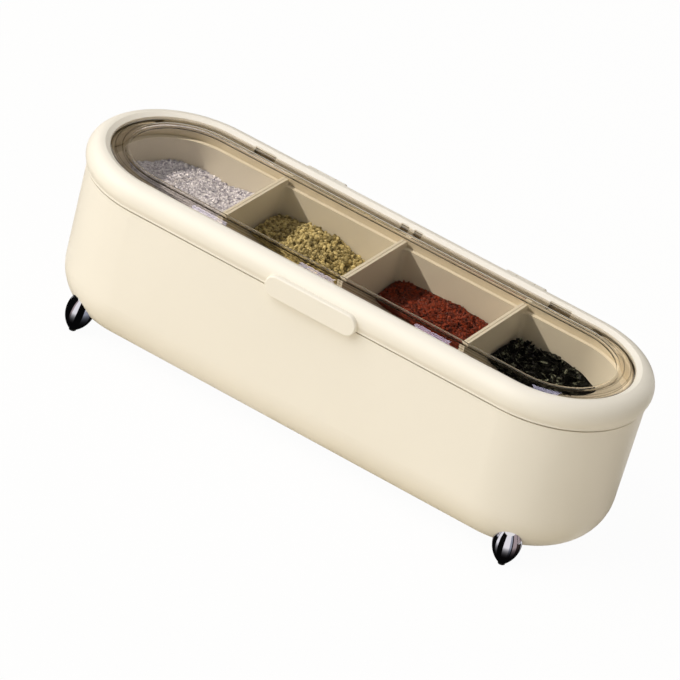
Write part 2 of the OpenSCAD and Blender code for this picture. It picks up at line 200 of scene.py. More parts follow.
def add(tree, kind, links=None, props=None, **values):
    """Adds a node, sets its properties and input values, and links its inputs."""
    node = tree.nodes.new(kind)
    for name, value in (props or {}).items():
        setattr(node, name, value)
    for name, value in values.items():
        node.inputs[name.replace("_", " ")].default_value = value
    for name, socket in (links or {}).items():
        tree.links.new(socket, node.inputs[name])
    return node


def material(name):
    """An empty node material with its output."""
    made = bpy.data.materials.new(name)
    made.use_nodes = True
    made.node_tree.nodes.clear()
    return made, made.node_tree, add(made.node_tree, "ShaderNodeOutputMaterial")


def rgba(colour, gain=1.0):
    """A colour with its alpha, lightened or darkened by gain."""
    return [min(1.0, c * gain) for c in colour] + [1.0]


def moulded(name, colour, roughness, grain=0.9, depth=0.02):
    """Injection-moulded plastic: even colour, a faint mould grain and slightly uneven gloss.

    The colour wanders by about a hundredth over 60 mm. The mould grain of a real one is
    0.1 mm across and too fine to show, so it is drawn as coarse as the value given in mm.
    """
    made, tree, out = material(name)
    place = add(tree, "ShaderNodeTexCoord").outputs["Object"]
    broad = add(tree, "ShaderNodeTexNoise", {"Vector": place}, Scale=1 / 0.06, Detail=2.0)
    ramp = add(tree, "ShaderNodeValToRGB", {"Fac": broad.outputs["Fac"]})
    ramp.color_ramp.elements[0].color = rgba(colour, 0.985)
    ramp.color_ramp.elements[1].color = rgba(colour, 1.015)
    fine = add(tree, "ShaderNodeTexNoise", {"Vector": place}, Scale=1 / (grain * MM), Detail=3.0)
    gloss = add(
        tree,
        "ShaderNodeMapRange",
        {"Value": fine.outputs["Fac"]},
        To_Min=roughness - 0.03,
        To_Max=roughness + 0.03,
    )
    bump = add(
        tree, "ShaderNodeBump", {"Height": fine.outputs["Fac"]}, Strength=0.25, Distance=depth * MM
    )
    shader = add(
        tree,
        "ShaderNodeBsdfPrincipled",
        {
            "Base Color": ramp.outputs["Color"],
            "Roughness": gloss.outputs["Result"],
            "Normal": bump.outputs["Normal"],
        },
        IOR=1.5,
    )
    tree.links.new(shader.outputs["BSDF"], out.inputs["Surface"])
    return made


def from_spine(tree, place, low, high):
    """Distance of a point from the long spine of a stadium that fills a box, level."""
    half = (high.x - low.x - high.y + low.y) / 2
    centred = add(tree, "ShaderNodeVectorMath", {0: place}, {"operation": "SUBTRACT"})
    centred.inputs[1].default_value = (0, (low.y + high.y) / 2, 0)
    sides = add(tree, "ShaderNodeVectorMath", {0: centred.outputs[0]}, {"operation": "ABSOLUTE"})
    past = add(tree, "ShaderNodeVectorMath", {0: sides.outputs[0]}, {"operation": "SUBTRACT"})
    past.inputs[1].default_value = (half, 0, 0)
    ends = add(tree, "ShaderNodeVectorMath", {0: past.outputs[0]}, {"operation": "MAXIMUM"})
    level = add(tree, "ShaderNodeVectorMath", {0: ends.outputs[0]}, {"operation": "MULTIPLY"})
    level.inputs[1].default_value = (1, 1, 0)
    return add(tree, "ShaderNodeVectorMath", {0: level.outputs[0]}, {"operation": "LENGTH"})


def clear_plastic(name, tint, border_painted_tint, low, high, border):
    """Clear styrene-acrylonitrile with a smoke tint, polished in the mould.

    It bends and reflects what is seen through it. Over its sloped border it is darkened by
    painted shade, with two fine painted dark lines and a darker outer edge. Its faces have
    faint waves, 20 mm across. Lamps shine through it with the tint alone, because the
    fillings below are lit through it.
    """
    made, tree, out = material(name)
    place = add(tree, "ShaderNodeTexCoord").outputs["Object"]
    spread = from_spine(tree, place, low, high)
    edge = (high.y - low.y) / 2
    # Painted shade: the tint darkens across the border towards its outer edge, while lamp light
    # passes with the plain tint
    smoke = add(
        tree,
        "ShaderNodeMapRange",
        {"Value": spread.outputs["Value"]},
        From_Min=edge - border,
        From_Max=edge,
    )
    shade = add(tree, "ShaderNodeValToRGB", {"Fac": smoke.outputs["Result"]})
    steps = shade.color_ramp.elements
    steps[0].color = rgba(tint)
    steps[1].color = rgba(border_painted_tint, EDGE_PAINTED_SHADE)
    for spot, gain in BORDER_PAINTED_SHADE:
        steps.new(spot).color = rgba(border_painted_tint, gain)
    waves = add(tree, "ShaderNodeTexNoise", {"Vector": place}, Scale=1 / 0.02, Detail=1.0)
    bump = add(
        tree, "ShaderNodeBump", {"Height": waves.outputs["Fac"]}, Strength=0.01, Distance=0.01 * MM
    )
    glass = add(
        tree,
        "ShaderNodeBsdfPrincipled",
        {"Base Color": shade.outputs["Color"], "Normal": bump.outputs["Normal"]},
        Roughness=0.0,
        IOR=1.49,
        Transmission_Weight=1.0,
    )
    through = add(tree, "ShaderNodeBsdfTransparent", Color=rgba(tint))
    ray = add(tree, "ShaderNodeLightPath")
    lamp = add(
        tree,
        "ShaderNodeMath",
        {0: ray.outputs["Is Shadow Ray"], 1: ray.outputs["Is Diffuse Ray"]},
        {"operation": "ADD", "use_clamp": True},
    )
    mix = add(
        tree,
        "ShaderNodeMixShader",
        {0: lamp.outputs["Value"], 1: glass.outputs["BSDF"], 2: through.outputs["BSDF"]},
    )
    tree.links.new(mix.outputs["Shader"], out.inputs["Surface"])
    return made


def metal(name, colour, roughness, streak, depth):
    """Bare or plated metal: a full mirror of its colour, with gloss that wanders a little.

    streak is the width in mm of the polishing marks, which are five times as long upwards.
    """
    made, tree, out = material(name)
    place = add(tree, "ShaderNodeTexCoord").outputs["Object"]
    spread = add(tree, "ShaderNodeMapping", {"Vector": place}, Scale=(1, 1, 0.2))
    marks = add(
        tree,
        "ShaderNodeTexNoise",
        {"Vector": spread.outputs["Vector"]},
        Scale=1 / (streak * MM),
        Detail=4.0,
    )
    gloss = add(
        tree,
        "ShaderNodeMapRange",
        {"Value": marks.outputs["Fac"]},
        To_Min=roughness * 0.7,
        To_Max=roughness * 1.3,
    )
    bump = add(
        tree, "ShaderNodeBump", {"Height": marks.outputs["Fac"]}, Strength=0.2, Distance=depth * MM
    )
    shader = add(
        tree,
        "ShaderNodeBsdfPrincipled",
        {"Roughness": gloss.outputs["Result"], "Normal": bump.outputs["Normal"]},
        Base_Color=rgba(colour),
        Metallic=1.0,
    )
    tree.links.new(shader.outputs["BSDF"], out.inputs["Surface"])
    return made


def loose(name, pale, dark, roughness, coarse, gloss=0.5, glow=0.0, glint=None):
    """Loose dry grains: each has its own tone, between the two colours, with a mottle on it.

    The tone comes from the piece's own attribute, and coarse is the size of the mottle in
    mm. The glow is painted light: each grain gives off that share of its own colour, so
    that grains in shade stay pale. The palest tenth or so takes the glint's colour, a
    painted glint.
    """
    made, tree, out = material(name)
    place = add(tree, "ShaderNodeTexCoord").outputs["Object"]
    tone = add(tree, "ShaderNodeAttribute", None, {"attribute_name": "tone"})
    mottle = add(tree, "ShaderNodeTexNoise", {"Vector": place}, Scale=1 / (coarse * MM), Detail=2.0)
    both = add(
        tree,
        "ShaderNodeMath",
        {0: tone.outputs["Fac"], 1: mottle.outputs["Fac"]},
        {"operation": "ADD"},
    )
    both = add(tree, "ShaderNodeMath", {0: both.outputs["Value"]}, {"operation": "SUBTRACT"})
    both.inputs[1].default_value = 0.5
    ramp = add(tree, "ShaderNodeValToRGB", {"Fac": both.outputs["Value"]})
    ramp.color_ramp.elements[0].color = rgba(dark)
    # With a glint, the palest tones rise to its colour: a painted glint
    ramp.color_ramp.elements[1].color = rgba(glint or pale)
    if glint:
        ramp.color_ramp.elements.new(0.88).color = rgba(pale)
    bump = add(
        tree, "ShaderNodeBump", {"Height": mottle.outputs["Fac"]}, Strength=0.4, Distance=0.1 * MM
    )
    shader = add(
        tree,
        "ShaderNodeBsdfPrincipled",
        {
            "Base Color": ramp.outputs["Color"],
            "Normal": bump.outputs["Normal"],
            "Emission Color": ramp.outputs["Color"],
        },
        Roughness=roughness,
        IOR=1.5,
        Specular_IOR_Level=gloss,
        Emission_Strength=glow,
    )
    tree.links.new(shader.outputs["BSDF"], out.inputs["Surface"])
    return made


def give(finish, *nodes):
    """Puts one finish on CAD nodes."""
    for name in nodes:
        for held in frame["nodes"][name].material_slots:
            held.material = finish


def placed(name, points, faces, finish):
    """An object made from its points in metres and its faces, with one finish."""
    mesh = bpy.data.meshes.new(name)
    mesh.from_pydata(points, [], faces)
    mesh.materials.append(finish)
    made = bpy.data.objects.new(name, mesh)
    bpy.context.scene.collection.objects.link(made)
    return made


def piece(name, points, faces, finish, tone, smooth=False):
    """A piece riding on the tub, with a tone for each of its points."""
    made = placed(name, points.tolist(), faces, finish)
    mesh = made.data
    mesh.attributes.new("tone", "FLOAT", "POINT").data.foreach_set("value", tone)
    mesh.polygons.foreach_set("use_smooth", [smooth] * len(mesh.polygons))
    mesh.update()
    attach(made, "tub")


def room(node, wall, floor_round):
    """The inside of a box: its middle, half sizes, corner radii and floor.

    An end box is a rectangle whose two outer corners have half its width as their radius.
    """
    low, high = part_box(node)
    centre = np.array([(low.x + high.x) / 2, (low.y + high.y) / 2])
    half = np.array([(high.x - low.x) / 2 - wall, (high.y - low.y) / 2 - RIM - wall])
    end = abs(centre[0]) > END_BOX
    if end:
        centre[0] = centre[0] - math.copysign(RIM / 2, centre[0])
        half[0] = half[0] - RIM / 2
    left = half[1] if end and centre[0] < 0 else CORNER
    right = half[1] if end and centre[0] > 0 else CORNER
    return {
        "centre": centre,
        "half": half,
        "left": left,
        "right": right,
        "floor": low.z + wall,
        "round": floor_round,
    }


def depth_inside(x, y, inside):
    """How far a point lies inside a box's outline, as a rounded rectangle's distance."""
    px = x - inside["centre"][0]
    py = np.abs(y - inside["centre"][1])
    r = np.where(px > 0, inside["right"], inside["left"])
    qx = np.abs(px) - inside["half"][0] + r
    qy = py - inside["half"][1] + r
    outside = np.hypot(np.maximum(qx, 0), np.maximum(qy, 0))
    return r - outside - np.minimum(np.maximum(qx, qy), 0)


def outline(inside, steps):
    """Radius from a box's middle to its wall at even turns, found by halving the reach."""
    turns = np.arange(steps) * 2 * math.pi / steps
    beyond_walls = 0.2
    low = np.zeros(steps)
    high = np.full(steps, beyond_walls)
    halvings = 40
    for _ in range(halvings):
        mid = (low + high) / 2
        x = inside["centre"][0] + mid * np.cos(turns)
        y = inside["centre"][1] + mid * np.sin(turns)
        held = depth_inside(x, y, inside) > 0
        low = np.where(held, mid, low)
        high = np.where(held, high, mid)
    return turns, low


def heap_top(x, y, inside, level, along, across, bow, lumps, seed):
    """Height of a filling: a level, slopes along and across, a bow and random waves.

    The bow lowers the ends by its rise, which is given over the box's half length. The
    five waves are sines whose lengths fall from 45 to 9 mm with heights in proportion.
    """
    dice = np.random.default_rng(seed)
    px = x - inside["centre"][0]
    py = y - inside["centre"][1]
    z = level + along * px + across * py - bow * (px / inside["half"][0]) ** 2
    for wave in (45, 30, 20, 13, 9):
        way = dice.uniform(0, 2 * math.pi)
        phase = dice.uniform(0, 2 * math.pi)
        k = 2 * math.pi / (wave * MM)
        z = z + lumps * wave / 45 * np.sin(k * (px * math.cos(way) + py * math.sin(way)) + phase)
    return z


def bed(name, inside, height, finish, tone):
    """The body of a filling: rings from the middle of the top to the wall, down and inwards.

    A ring is the box's outline times a share of its radius. Its height is the heap's on
    top, and on the floor it follows the quarter circle between wall and floor.
    """
    steps = 180
    above = 40
    below = 5
    turns, reach = outline(inside, steps)
    shares = np.concatenate([np.linspace(0, 1, above + 1)[1:], np.ones(below)])
    r = shares[:, None] * reach[None, :]
    x = inside["centre"][0] + r * np.cos(turns)
    y = inside["centre"][1] + r * np.sin(turns)
    z = height(x, y)
    ease = np.linspace(0, math.pi / 2, below)
    inset = inside["round"] * (1 - np.cos(ease))[:, None]
    x[above:] -= inset * np.cos(turns)
    y[above:] -= inset * np.sin(turns)
    z[above:] = inside["floor"] + inside["round"] * (1 - np.sin(ease))[:, None]
    rings = np.stack([x, y, z], -1)
    top = np.array([[inside["centre"][0], inside["centre"][1], 0.0]])
    top[0, 2] = height(top[:, 0], top[:, 1])[0]
    base = np.array([[inside["centre"][0], inside["centre"][1], inside["floor"]]])
    points = np.concatenate([top, rings.reshape(-1, 3), base])
    here = np.arange(steps)
    after = (here + 1) % steps
    first = 1 + np.arange(len(rings) - 1)[:, None] * steps
    quads = np.stack(
        [first + here, first + steps + here, first + steps + after, first + after], -1
    ).reshape(-1, 4)
    last = 1 + (len(rings) - 1) * steps
    fan = np.stack([0 * here, 1 + here, 1 + after], -1)
    close = np.stack([last + here, 0 * here + len(points) - 1, last + after], -1)
    faces = quads.tolist() + fan.tolist() + close.tolist()
    piece(name, points, faces, finish, np.full(len(points), tone), smooth=True)


def spin(dice, many, lean):
    """Random turns as matrices: any turn about Z, after a tilt of up to lean about a level axis."""
    about = dice.uniform(0, 2 * math.pi, many)
    tilt = dice.uniform(-lean, lean, many)
    way = dice.uniform(0, 2 * math.pi, many)
    c, s = np.cos(about), np.sin(about)
    zero, one = np.zeros(many), np.ones(many)
    flat = np.stack([c, -s, zero, s, c, zero, zero, zero, one], -1).reshape(-1, 3, 3)
    ux, uy = np.cos(way), np.sin(way)
    c, s = np.cos(tilt), np.sin(tilt)
    d = 1 - c
    xy = ux * uy * d
    cells = [c + ux * ux * d, xy, uy * s, xy, c + uy * uy * d, -ux * s, -uy * s, ux * s, c]
    tip = np.stack(cells, -1).reshape(-1, 3, 3)
    return tip @ flat


def scatter(name, inside, height, form, size, many, lean, finish, seed, shape=(1, 1, 1)):
    """Loose grains on a filling: one small form, stretched, dented, turned and dropped at random.

    Each grain is the form's points times its own three sizes and a dent of each corner,
    turned by its own matrix, and set on the heap's height at a random spot in the box. The
    spots are drawn twice over, because those too near a wall are dropped.
    """
    corners, sides = form
    dice = np.random.default_rng(seed)
    low = inside["centre"] - inside["half"]
    high = inside["centre"] + inside["half"]
    spots = dice.uniform(low, high, (many * 2, 2))
    clear = depth_inside(spots[:, 0], spots[:, 1], inside) > size * 0.55
    spots = spots[clear][:many]
    many = len(spots)
    scale = size / 2 * np.array(shape) * dice.uniform(0.65, 1.15, (many, 1))
    scale = scale * dice.uniform(0.8, 1.2, (many, 3))
    dents = dice.uniform(0.82, 1.12, (many, len(corners), 1))
    local = corners[None] * scale[:, None, :] * dents
    turned = local @ spin(dice, many, lean).transpose(0, 2, 1)
    z = height(spots[:, 0], spots[:, 1]) + dice.uniform(0.0, 0.7, many) * size * shape[2]
    centre = np.concatenate([spots, z[:, None]], 1)
    points = (turned + centre[:, None]).reshape(-1, 3)
    start = len(corners) * np.arange(many)[:, None, None]
    faces = (sides[None] + start).reshape(-1, sides.shape[1])
    tone = np.repeat(dice.uniform(0.05, 0.95, many), len(corners))
    piece(name, points, faces.tolist(), finish, tone)


def crystal():
    """A cube's eight corners and six sides, for salt."""
    x, y, z = np.meshgrid([-1.0, 1.0], [-1.0, 1.0], [-1.0, 1.0], indexing="ij")
    corners = np.stack([x.ravel(), y.ravel(), z.ravel()], -1) * 0.8
    sides = np.array(
        [[0, 1, 3, 2], [4, 6, 7, 5], [0, 4, 5, 1], [2, 3, 7, 6], [0, 2, 6, 4], [1, 5, 7, 3]]
    )
    return corners, sides


def granule():
    """A ball of twenty equal triangles, for herb granules and crushed chili."""
    g = (1 + math.sqrt(5)) / 2
    corners = np.array(
        [[-1, g, 0], [1, g, 0], [-1, -g, 0], [1, -g, 0], [0, -1, g], [0, 1, g]]
        + [[0, -1, -g], [0, 1, -g], [g, 0, -1], [g, 0, 1], [-g, 0, -1], [-g, 0, 1]]
    ) / math.hypot(1, g)
    sides = np.array(
        [[0, 11, 5], [0, 5, 1], [0, 1, 7], [0, 7, 10], [0, 10, 11], [1, 5, 9], [5, 11, 4]]
        + [[11, 10, 2], [10, 7, 6], [7, 1, 8], [3, 9, 4], [3, 4, 2], [3, 2, 6], [3, 6, 8]]
        + [[3, 8, 9], [4, 9, 5], [2, 4, 11], [6, 2, 10], [8, 6, 7], [9, 8, 1]]
    )
    return corners, sides


def curl():
    """A strip of leaf bent into an arc along its length, with a thin square section."""
    along = np.linspace(-1, 1, 5)
    bow = 0.35 * (1 - along**2)
    square = ((-1, -1), (1, -1), (1, 1), (-1, 1))
    corners = np.array([[a, w, b + t] for a, b in zip(along, bow) for w, t in square], float)
    start = 4 * np.arange(4)[:, None]
    k = np.arange(4)
    wrap = (k + 1) % 4
    tube = np.stack([start + k, start + wrap, start + 4 + wrap, start + 4 + k], -1).reshape(-1, 4)
    caps = np.array([[0, 3, 2, 1], [16, 17, 18, 19]])
    return corners, np.concatenate([tube, caps])


class CADDY_OT_shells(bpy.types.Operator):
    """Gives the tub, lid frame, tab, inner frame and boxes their moulded plastics."""

    bl_idname = "caddy.shells"
    bl_label = "Moulded shells"

    def execute(self, context):
        colours = context.scene.caddy_colours
        # ABS moulded in a blasted tool: a soft satin with a wide highlight
        shell = moulded("abs_cream_moulded", colours.shell, roughness=0.42)
        give(shell, "body_shell", "lid_frame", "front_tab")
        # Polypropylene: a touch waxier and darker, so the collar reads behind the window
        give(moulded("pp_ivory_moulded", colours.inner, roughness=0.45), "inner_frame")
        boxes = moulded("pp_beige_moulded", colours.boxes, roughness=0.48)
        give(boxes, "box_left_end", "box_left_middle", "box_right_middle", "box_right_end")
        return {"FINISHED"}


class CADDY_OT_window(bpy.types.Operator):
    """Gives the window its clear smoke plastic and the lid its silicone seal."""

    bl_idname = "caddy.window"
    bl_label = "Window and seal"

    def execute(self, context):
        colours = context.scene.caddy_colours
        low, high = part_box("window_pane")
        pane = clear_plastic(
            "san_smoke_polished", colours.smoke, colours.smoke_border_shade, low, high, colours.border
        )
        give(pane, "window_pane")
        # Silicone rubber: dull and slightly uneven, from a matt tool
        seal = moulded(
            "silicone_moulded", colours.silicone, roughness=0.6, grain=0.5, depth=0.03
        )
        give(seal, "lid_seal")
        return {"FINISHED"}


class CADDY_OT_feet(bpy.types.Operator):
    """Gives the feet, pads, pins and screws their metals and rubber."""

    bl_idname = "caddy.feet"
    bl_label = "Feet and fixings"

    def execute(self, context):
        colours = context.scene.caddy_colours
        feet = [f"foot_{y}_{x}" for y in ("front", "rear") for x in ("left", "right")]
        pads = [f"pad_{y}_{x}" for y in ("front", "rear") for x in ("left", "right")]
        # Chrome plate on steel: a near mirror with faint upright polishing marks
        chrome = metal(
            "chrome_plate_polished", colours.chrome, roughness=0.06, streak=0.8, depth=0.002
        )
        give(chrome, *feet)
        # Dark silicone rubber: dull, with a finer and deeper grain than the shells have
        rubber = moulded("silicone_pad", colours.pads, roughness=0.7, grain=0.4, depth=0.03)
        give(rubber, *pads)
        # Bright drawn steel wire, as cut for hinge pins
        steel = metal("steel_drawn", colours.steel, roughness=0.28, streak=0.4, depth=0.004)
        give(steel, "hinge_pin_left", "hinge_pin_right", "foot_screws")
        return {"FINISHED"}


class CADDY_OT_salt(bpy.types.Operator):
    """Fills the left end box with coarse salt."""

    bl_idname = "caddy.salt"
    bl_label = "Salt"

    def execute(self, context):
        fill = context.scene.caddy_fillings
        inside = room("box_left_end", fill.wall, fill.floor_round)

        def height(x, y):
            return heap_top(
                x, y, inside, fill.salt_level, 0.02, 0.02, bow=-3.5 * MM, lumps=0.7 * MM, seed=3
            )

        # Sea salt: pale crystals with a weak painted glow of their own colour, so that their shade
        # stays pale
        grain = loose(
            "sea_salt_crystals",
            fill.salt,
            fill.salt_shade,
            roughness=0.35,
            coarse=0.4,
            gloss=0.4,
            # Painted light: the crystals glow with a tenth of their own colour
            glow=0.1,
        )
        bed("salt_bed", inside, height, grain, tone=0.5)
        scatter(
            "salt_crystals",
            inside,
            height,
            crystal(),
            size=fill.salt_grain,
            many=12000,
            lean=ANY_TILT,
            finish=grain,
            seed=11,
        )
        return {"FINISHED"}


class CADDY_OT_herbs(bpy.types.Operator):
    """Fills the left middle box with dried herb granules."""

    bl_idname = "caddy.herbs"
    bl_label = "Dried herbs"

    def execute(self, context):
        fill = context.scene.caddy_fillings
        inside = room("box_left_middle", fill.wall, fill.floor_round)

        def height(x, y):
            return heap_top(
                x, y, inside, fill.herb_level, -0.12, 0.03, bow=8.5 * MM, lumps=0.8 * MM, seed=5
            )

        # Dried and crushed herbs: dull granules, wrinkled and olive to straw
        grain = loose(
            "dried_herb_granules", fill.herb, fill.herb_shade, roughness=0.75, coarse=0.6
        )
        # Painted shade: the bed takes the darkest colour, so the gaps between the granules look
        # dark
        bed("herb_bed", inside, height, grain, tone=0.0)
        scatter(
            "herb_granules",
            inside,
            height,
            granule(),
            size=fill.herb_grain,
            many=4200,
            lean=ANY_TILT,
            finish=grain,
            seed=23,
            shape=(1.1, 0.9, 0.8),
        )
        return {"FINISHED"}


class CADDY_OT_chili(bpy.types.Operator):
    """Fills the right middle box with crushed chili."""

    bl_idname = "caddy.chili"
    bl_label = "Crushed chili"

    def execute(self, context):
        fill = context.scene.caddy_fillings
        inside = room("box_right_middle", fill.wall, fill.floor_round)

        def height(x, y):
            return heap_top(
                x, y, inside, fill.chili_level, 0.0, 0.03, bow=6.0 * MM, lumps=0.8 * MM, seed=8
            )

        # Crushed dried chili: brick red flakes with a dull, slightly oily skin
        grain = loose(
            "crushed_chili_flakes",
            fill.chili,
            fill.chili_shade,
            roughness=0.55,
            coarse=0.5,
            gloss=0.25,
        )
        # Painted shade: the bed takes the darkest colour, so the gaps between the flakes look dark
        bed("chili_bed", inside, height, grain, tone=0.0)
        scatter(
            "chili_flakes",
            inside,
            height,
            granule(),
            size=fill.chili_grain,
            many=7000,
            lean=ANY_TILT,
            finish=grain,
            seed=31,
            shape=(1.15, 0.9, 0.5),
        )
        return {"FINISHED"}


class CADDY_OT_flakes(bpy.types.Operator):
    """Fills the right end box with dark dried flakes."""

    bl_idname = "caddy.flakes"
    bl_label = "Dark flakes"

    def execute(self, context):
        fill = context.scene.caddy_fillings
        inside = room("box_right_end", fill.wall, fill.floor_round)

        def height(x, y):
            return heap_top(
                x, y, inside, fill.flake_level, -0.19, 0.03, bow=4.5 * MM, lumps=1.0 * MM, seed=13
            )

        # Dried leaf strips: nearly black, with painted greenish glints where their palest spots
        # take the glint's colour
        grain = loose(
            "dried_leaf_strips",
            fill.flakes,
            fill.flakes_shade,
            roughness=0.4,
            coarse=0.7,
            gloss=0.08,
            glint=fill.flakes_painted_glint,
        )
        # Painted shade: the bed takes the darkest colour, so the gaps between the strips look dark
        bed("flake_bed", inside, height, grain, tone=0.0)
        scatter(
            "dark_flakes",
            inside,
            height,
            curl(),
            size=fill.flake_grain,
            many=1900,
            lean=1.1,
            finish=grain,
            seed=41,
            shape=(1, 0.34, 0.1),
        )
        return {"FINISHED"}


def unseen(made):
    """Leaves a stage piece to reflections alone."""
    made.visible_camera = False
    made.visible_diffuse = False
    made.visible_shadow = False


def card(name, middle, normal, along, width, tall, finish):
    """A flat card that only reflections see: a rectangle square to its normal.

    Its width runs as nearly along the given direction as that allows.
    """
    facing = Vector(normal).normalized()
    side = Vector(along)
    side = (side - facing * side.dot(facing)).normalized() * width / 2
    up = facing.cross(side).normalized() * tall / 2
    corners = [(-1, -1), (1, -1), (1, 1), (-1, 1)]
    points = [side * a + up * b + Vector(middle) for a, b in corners]
    unseen(placed(name, points, [(0, 1, 2, 3)], finish))


def bars(studio, eye):
    """Four pale cards over the caddy, seen as short bars in the window's front border.

    A card stands where the camera's ray goes from a spot of the border that is turned down
    by the bar tilt: back along twice the normal's share of the ray, less the ray. It is
    wider where the border turns round the window's end.
    """
    pale, tree, out = material("studio_card_pale")
    glow = add(tree, "ShaderNodeEmission", Color=rgba(studio.bar), Strength=studio.bar_strength)
    tree.links.new(glow.outputs["Emission"], out.inputs["Surface"])
    low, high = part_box("window_pane")
    half = (high.x - low.x - high.y + low.y) / 2
    middle = (low.y + high.y) / 2
    # The bars lie this far inside the window's outline, and this far under its top
    inward = 1.8 * MM
    sunk = 1 * MM
    away = 0.4
    tall = 0.085
    reach = (high.y - low.y) / 2 - inward
    tilt = studio.bar_tilt
    for k, x in enumerate(BARS):
        past = math.asin(max(0.0, x * MM - half) / reach)
        spot = Vector((x * MM, middle - reach * math.cos(past), high.z - sunk))
        normal = Vector((math.sin(past), -math.cos(past), 0)) * math.sin(tilt)
        normal.z = math.cos(tilt)
        toward = (eye - spot).normalized()
        way = normal * 2 * normal.dot(toward) - toward
        along = Vector((math.cos(past), math.sin(past), 0))
        wide = 0.022 + 0.13 * past
        card(f"card_bar_{k + 1}", spot + way * away, -way, along, wide, tall, pale)


def floor_streaks(studio):
    """Dark bowls round the feet, with pale wedges, that only reflections show.

    A bowl is a polar grid on the floor with an upright rim, and keeps to its own quarter
    of the floor. Its light at a turn is that of the wedge there, or nearly black, and it
    rises with the distance from the foot as a smooth step.
    """
    streaks, tree, out = material("studio_floor_streaks")
    shade = add(tree, "ShaderNodeAttribute", None, {"attribute_name": "streak"})
    glow = add(tree, "ShaderNodeEmission", {"Color": shade.outputs["Color"]}, Strength=1.0)
    tree.links.new(glow.outputs["Emission"], out.inputs["Surface"])
    white = (0.97, 0.95, 0.96)
    slate = (0.34, 0.36, 0.42)
    mauve = (0.42, 0.34, 0.34)
    umber = (0.05, 0.035, 0.03)
    nearly_black = 0.003
    # A wedge's start and end, in degrees anticlockwise from the camera's side, and its light
    wedges = [(-82, -62, white), (-20, 24, white), (24, 38, slate), (46, 76, mauve)]
    wedges += [(80, 104, umber), (118, 150, white), (-160, -128, mauve)]
    left_wedges = [(-52, -18, white), (-64, -52, mauve), (32, 84, slate), (118, 150, white)]
    toward = math.degrees(studio.azimuth) - 90
    turns = np.arange(0, 360, 2.0)
    # The rings' radii and heights in mm: level out to 150, then up
    radii = np.array([0.1, 9, 13, 18, 24, 31, 40, 50, 70, 110, 150, 150, 150, 150])
    heights = np.array([0.2] * 11 + [40, 80, 120])
    # The light starts 9 mm from the foot's middle and is full 50 mm further out
    rise = np.clip((radii - 9) / 50, 0, 1)
    rise = rise * rise * (3 - 2 * rise)
    around = np.radians(turns)
    steps = len(turns)
    here = np.arange(steps)
    after = (here + 1) % steps
    first = np.arange(len(radii) - 1)[:, None] * steps
    faces = np.stack([first + here, first + steps + here, first + steps + after, first + after], -1)
    for side in ("front_left", "front_right", "rear_left", "rear_right"):
        low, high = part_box("pad_" + side)
        colours = np.full((len(radii), len(turns), 4), nearly_black)
        for start, end, colour in left_wedges if side == "front_left" else wedges:
            inside = (turns - toward - start) % 360 < end - start
            lit = rise[:, None] * inside[None, :]
            colours[..., :3] += lit[..., None] * np.array(colour)
        x = (low.x + high.x) / 2 + radii[:, None] * MM * np.cos(around)
        y = (low.y + high.y) / 2 + radii[:, None] * MM * np.sin(around)
        z = heights[:, None] * MM + 0 * x
        points = np.stack([x, y, z], -1).reshape(-1, 3)
        middle = points[faces.reshape(-1, 4)].mean(1)
        own = (middle[:, 0] * low.x > 0) & (middle[:, 1] * low.y > 0)
        kept = faces.reshape(-1, 4)[own].tolist()
        made = placed("streaks_" + side, points.tolist(), kept, streaks)
        light = made.data.attributes.new("streak", "FLOAT_COLOR", "POINT")
        light.data.foreach_set("color", colours.ravel())
        unseen(made)
        made.visible_transmission = False


def hang(scene, lamp, side, height, reach):
    """Places a lamp at a turn to the left of the front and a height, aimed at the caddy."""
    level = math.cos(height)
    away = Vector((-math.sin(side) * level, -math.cos(side) * level, math.sin(height)))
    held = bpy.data.objects.new(lamp.name, lamp)
    held.rotation_mode = "QUATERNION"
    held.rotation_quaternion = away.to_track_quat("Z", "Y")
    held.location = away * reach
    scene.collection.objects.link(held)
    return held


def plainly_seen(tree):
    """One where the camera, a mirror or a clear pane sees a surface, and nought elsewhere."""
    ray = add(tree, "ShaderNodeLightPath")
    seen = ray.outputs["Is Camera Ray"]
    for kind in ("Is Glossy Ray", "Is Transmission Ray"):
        either = add(
            tree,
            "ShaderNodeMath",
            {0: seen, 1: ray.outputs[kind]},
            {"operation": "ADD", "use_clamp": True},
        )
        seen = either.outputs["Value"]
    return seen


def lay_floor(studio):
    """A floor 8 m square, of paint mixed with plain white by the floor's whiteness."""
    # Painted floor: matt and pale, shown as white with a faint shadow
    made, tree, out = material("studio_floor_paint")
    share = add(tree, "ShaderNodeMath", {0: plainly_seen(tree)}, {"operation": "MULTIPLY"})
    share.inputs[1].default_value = studio.floor_glow
    paint = add(tree, "ShaderNodeBsdfDiffuse", Color=rgba(studio.floor))
    white = add(tree, "ShaderNodeEmission", Color=(1, 1, 1, 1), Strength=1.0)
    mix = add(
        tree,
        "ShaderNodeMixShader",
        {0: share.outputs["Value"], 1: paint.outputs["BSDF"], 2: white.outputs["Emission"]},
    )
    tree.links.new(mix.outputs["Shader"], out.inputs["Surface"])
    corners = [(-4, -4, 0), (4, -4, 0), (4, 4, 0), (-4, 4, 0)]
    floor = placed("studio_floor", corners, [(0, 1, 2, 3)], made)


